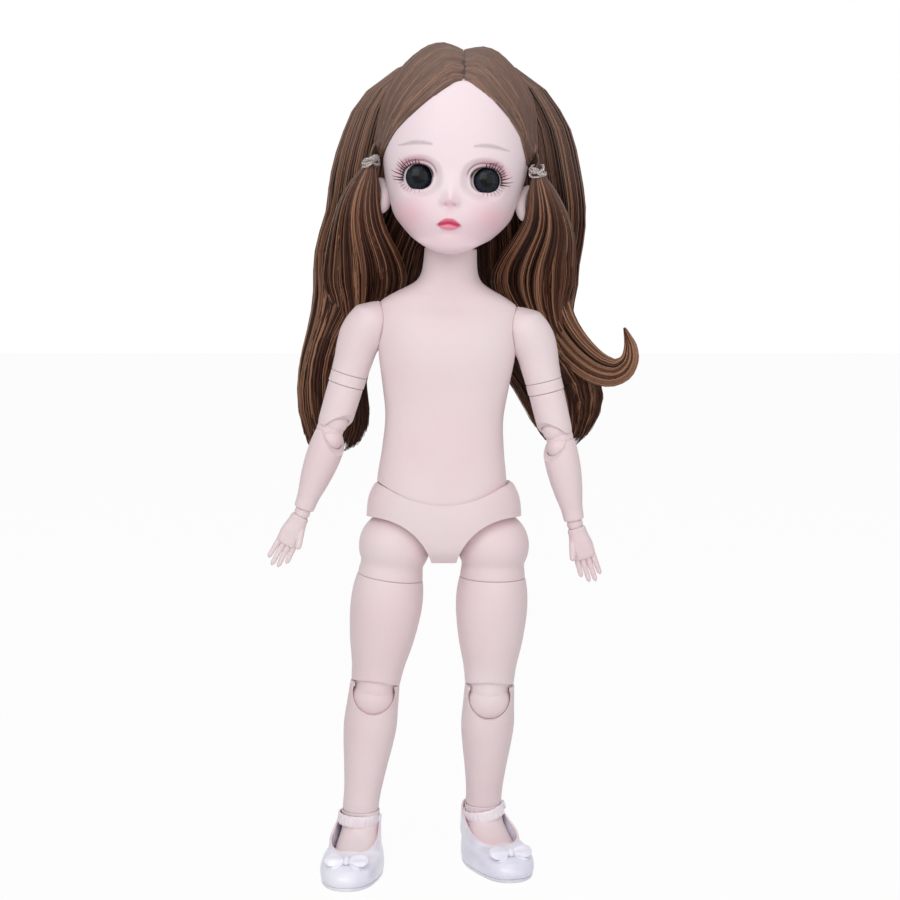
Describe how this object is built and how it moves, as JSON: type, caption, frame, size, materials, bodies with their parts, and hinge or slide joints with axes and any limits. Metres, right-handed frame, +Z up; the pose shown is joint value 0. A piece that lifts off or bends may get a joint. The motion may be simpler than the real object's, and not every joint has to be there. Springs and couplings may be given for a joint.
{
  "type": "ball jointed doll",
  "caption": "Standing ball jointed doll with a long wig tied in side bunches, glassy eyes and white strap shoes; head, waist, arms and legs turn on friction joints.",
  "frame": {"origin": "on the floor under the middle of the doll's bounding box", "axes": "+Z up, the doll faces -Y, +X towards the doll's own left"},
  "size_m": [0.1366, 0.0741, 0.3006],
  "materials": {
    "skin": "satin moulded plastic in a pale rose skin tone",
    "face": "satin plastic with painted make-up",
    "eye": "polished dark navy eye",
    "hair": "brown wig fibre with a soft sheen",
    "elastic": "clear elastic",
    "shoe": "glossy white synthetic leather",
    "stud": "plain moulded plastic"
  },
  "bodies": {
    "pelvis": {"pelvis": "skin"},
    "waist": {"waist_stud": "stud"},
    "trunk": {"chest_front": "skin", "chest_back": "skin"},
    "neck": {"neck_ball": "skin"},
    "head": {"face_shell": "face", "head_cap": "face", "eye_left": "eye", "eye_right": "eye", "wig_crown": "hair", "elastic_left": "elastic", "elastic_right": "elastic", "hair_back": "hair", "hair_fall_left": "hair", "hair_fall_right": "hair", "hair_bunch_left": "hair", "hair_bunch_right": "hair", "hair_curl": "hair"},
    "shoulder_left": {"shoulder_stud_left": "stud"},
    "arm_top_left": {"shoulder_cap_left": "skin", "arm_ring_left": "skin"},
    "arm_left": {"upper_arm_left": "skin"},
    "elbow_left": {"elbow_link_left": "skin"},
    "forearm_left": {"forearm_left": "skin"},
    "wrist_left": {"wrist_ball_left": "skin"},
    "hand_left": {"hand_left": "skin"},
    "hip_left": {"hip_stud_left": "stud"},
    "leg_top_left": {"hip_ball_left": "skin"},
    "thigh_left": {"thigh_left": "skin"},
    "knee_left": {"knee_link_left": "skin"},
    "shin_left": {"shin_left": "skin"},
    "ankle_left": {"ankle_ball_left": "skin"},
    "foot_left": {"foot_left": "skin", "shoe_sole_left": "shoe", "shoe_upper_left": "shoe", "shoe_strap_left": "shoe", "strap_button_left": "shoe", "shoe_bow_left": "shoe"},
    "shoulder_right": {"shoulder_stud_right": "stud"},
    "arm_top_right": {"shoulder_cap_right": "skin", "arm_ring_right": "skin"},
    "arm_right": {"upper_arm_right": "skin"},
    "elbow_right": {"elbow_link_right": "skin"},
    "forearm_right": {"forearm_right": "skin"},
    "wrist_right": {"wrist_ball_right": "skin"},
    "hand_right": {"hand_right": "skin"},
    "hip_right": {"hip_stud_right": "stud"},
    "leg_top_right": {"hip_ball_right": "skin"},
    "thigh_right": {"thigh_right": "skin"},
    "knee_right": {"knee_link_right": "skin"},
    "shin_right": {"shin_right": "skin"},
    "ankle_right": {"ankle_ball_right": "skin"},
    "foot_right": {"foot_right": "skin", "shoe_sole_right": "shoe", "shoe_upper_right": "shoe", "shoe_strap_right": "shoe", "strap_button_right": "shoe", "shoe_bow_right": "shoe"}
  },
  "joints": [
    {"name": "waist_twist", "type": "hinge", "parent": "pelvis", "child": "waist", "pos_m": [-0.0026, -0.005, 0.16126], "axis": [0, 0, 1], "range_deg": [-30, 30]},
    {"name": "waist_bend", "type": "hinge", "parent": "waist", "child": "trunk", "pos_m": [-0.0026, -0.005, 0.16126], "axis": [1, 0, 0], "range_deg": [-8, 8]},
    {"name": "neck_nod", "type": "hinge", "parent": "trunk", "child": "neck", "pos_m": [-0.00007, -0.005, 0.22721], "axis": [1, 0, 0], "range_deg": [-12, 8]},
    {"name": "head_turn", "type": "hinge", "parent": "neck", "child": "head", "pos_m": [-0.00007, -0.005, 0.22721], "axis": [0, 0, 1], "range_deg": [-50, 50], "deforming": ["hair_back", "hair_fall_left", "hair_fall_right", "hair_bunch_left", "hair_bunch_right", "hair_curl"]},
    {"name": "shoulder_swing_left", "type": "hinge", "parent": "trunk", "child": "shoulder_left", "pos_m": [0.02869, -0.005, 0.19688], "axis": [-0.9993, 0, 0.0384], "range_deg": [-55, 150]},
    {"name": "arm_raise_left", "type": "hinge", "parent": "shoulder_left", "child": "arm_top_left", "pos_m": [0.02869, -0.005, 0.19688], "axis": [0, -1, 0], "range_deg": [-4, 52]},
    {"name": "arm_twist_left", "type": "hinge", "parent": "arm_top_left", "child": "arm_left", "pos_m": [0.02869, -0.005, 0.19688], "axis": [-0.2368, 0, 0.9715], "range_deg": [-90, 90]},
    {"name": "elbow_upper_left", "type": "hinge", "parent": "arm_left", "child": "elbow_left", "pos_m": [0.03745, -0.005, 0.16094], "axis": [-0.6245, 0.766, -0.1522], "range_deg": [0, 60]},
    {"name": "elbow_lower_left", "type": "hinge", "parent": "elbow_left", "child": "forearm_left", "pos_m": [0.03902, -0.005, 0.15452], "axis": [-0.6245, 0.766, -0.1522], "range_deg": [0, 60]},
    {"name": "wrist_twist_left", "type": "hinge", "parent": "forearm_left", "child": "wrist_left", "pos_m": [0.0448, -0.005, 0.12662], "axis": [-0.2028, 0, 0.9792], "range_deg": [-80, 80]},
    {"name": "wrist_bend_left", "type": "hinge", "parent": "wrist_left", "child": "hand_left", "pos_m": [0.0448, -0.005, 0.12662], "axis": [0, -1, 0], "range_deg": [-35, 35]},
    {"name": "hip_swing_left", "type": "hinge", "parent": "pelvis", "child": "hip_left", "pos_m": [0.0153, -0.005, 0.11876], "axis": [-1, 0, 0], "range_deg": [-20, 42]},
    {"name": "hip_spread_left", "type": "hinge", "parent": "hip_left", "child": "leg_top_left", "pos_m": [0.0153, -0.005, 0.11876], "axis": [0, -1, 0], "range_deg": [-4, 24]},
    {"name": "thigh_twist_left", "type": "hinge", "parent": "leg_top_left", "child": "thigh_left", "pos_m": [0.0153, -0.005, 0.11876], "axis": [-0.0262, 0, -0.9997], "range_deg": [-30, 30]},
    {"name": "knee_upper_left", "type": "hinge", "parent": "thigh_left", "child": "knee_left", "pos_m": [0.01402, -0.005, 0.06978], "axis": [0.9997, 0, -0.0262], "range_deg": [0, 45]},
    {"name": "knee_lower_left", "type": "hinge", "parent": "knee_left", "child": "shin_left", "pos_m": [0.01381, -0.005, 0.06198], "axis": [0.9997, 0, -0.0262], "range_deg": [-11, 34]},
    {"name": "ankle_pitch_left", "type": "hinge", "parent": "shin_left", "child": "ankle_left", "pos_m": [0.01208, 0.00293, 0.0222], "axis": [-1, 0, 0], "range_deg": [-18, 18]},
    {"name": "foot_turn_left", "type": "hinge", "parent": "ankle_left", "child": "foot_left", "pos_m": [0.01208, 0.00293, 0.0222], "axis": [0, 0, 1], "range_deg": [-20, 20]},
    {"name": "shoulder_swing_right", "type": "hinge", "parent": "trunk", "child": "shoulder_right", "pos_m": [-0.03106, -0.005, 0.19918], "axis": [-0.9993, 0, 0.0384], "range_deg": [-55, 150]},
    {"name": "arm_raise_right", "type": "hinge", "parent": "shoulder_right", "child": "arm_top_right", "pos_m": [-0.03106, -0.005, 0.19918], "axis": [0, 1, 0], "range_deg": [-4, 52]},
    {"name": "arm_twist_right", "type": "hinge", "parent": "arm_top_right", "child": "arm_right", "pos_m": [-0.03106, -0.005, 0.19918], "axis": [-0.289, 0, -0.9573], "range_deg": [-90, 90]},
    {"name": "elbow_upper_right", "type": "hinge", "parent": "arm_right", "child": "elbow_right", "pos_m": [-0.04176, -0.005, 0.16376], "axis": [-0.6154, -0.766, 0.1858], "range_deg": [0, 60]},
    {"name": "elbow_lower_right", "type": "hinge", "parent": "elbow_right", "child": "forearm_right", "pos_m": [-0.04367, -0.005, 0.15744], "axis": [-0.6154, -0.766, 0.1858], "range_deg": [0, 60]},
    {"name": "wrist_twist_right", "type": "hinge", "parent": "forearm_right", "child": "wrist_right", "pos_m": [-0.05383, -0.005, 0.13082], "axis": [-0.3567, 0, -0.9342], "range_deg": [-80, 80]},
    {"name": "wrist_bend_right", "type": "hinge", "parent": "wrist_right", "child": "hand_right", "pos_m": [-0.05383, -0.005, 0.13082], "axis": [0, 1, 0], "range_deg": [-35, 35]},
    {"name": "hip_swing_right", "type": "hinge", "parent": "pelvis", "child": "hip_right", "pos_m": [-0.0205, -0.005, 0.11876], "axis": [-1, 0, 0], "range_deg": [-20, 42]},
    {"name": "hip_spread_right", "type": "hinge", "parent": "hip_right", "child": "leg_top_right", "pos_m": [-0.0205, -0.005, 0.11876], "axis": [0, 1, 0], "range_deg": [-4, 24]},
    {"name": "thigh_twist_right", "type": "hinge", "parent": "leg_top_right", "child": "thigh_right", "pos_m": [-0.0205, -0.005, 0.11876], "axis": [0.1392, 0, 0.9903], "range_deg": [-30, 30]},
    {"name": "knee_upper_right", "type": "hinge", "parent": "thigh_right", "child": "knee_right", "pos_m": [-0.02732, -0.005, 0.07024], "axis": [0.9903, 0, -0.1392], "range_deg": [0, 45]},
    {"name": "knee_lower_right", "type": "hinge", "parent": "knee_right", "child": "shin_right", "pos_m": [-0.0284, -0.005, 0.06251], "axis": [0.9903, 0, -0.1392], "range_deg": [0, 45]},
    {"name": "ankle_pitch_right", "type": "hinge", "parent": "shin_right", "child": "ankle_right", "pos_m": [-0.03321, -0.005, 0.0222], "axis": [-1, 0, 0], "range_deg": [-18, 18]},
    {"name": "foot_turn_right", "type": "hinge", "parent": "ankle_right", "child": "foot_right", "pos_m": [-0.03321, -0.005, 0.0222], "axis": [0, 0, -1], "range_deg": [-20, 20]}
  ]
}
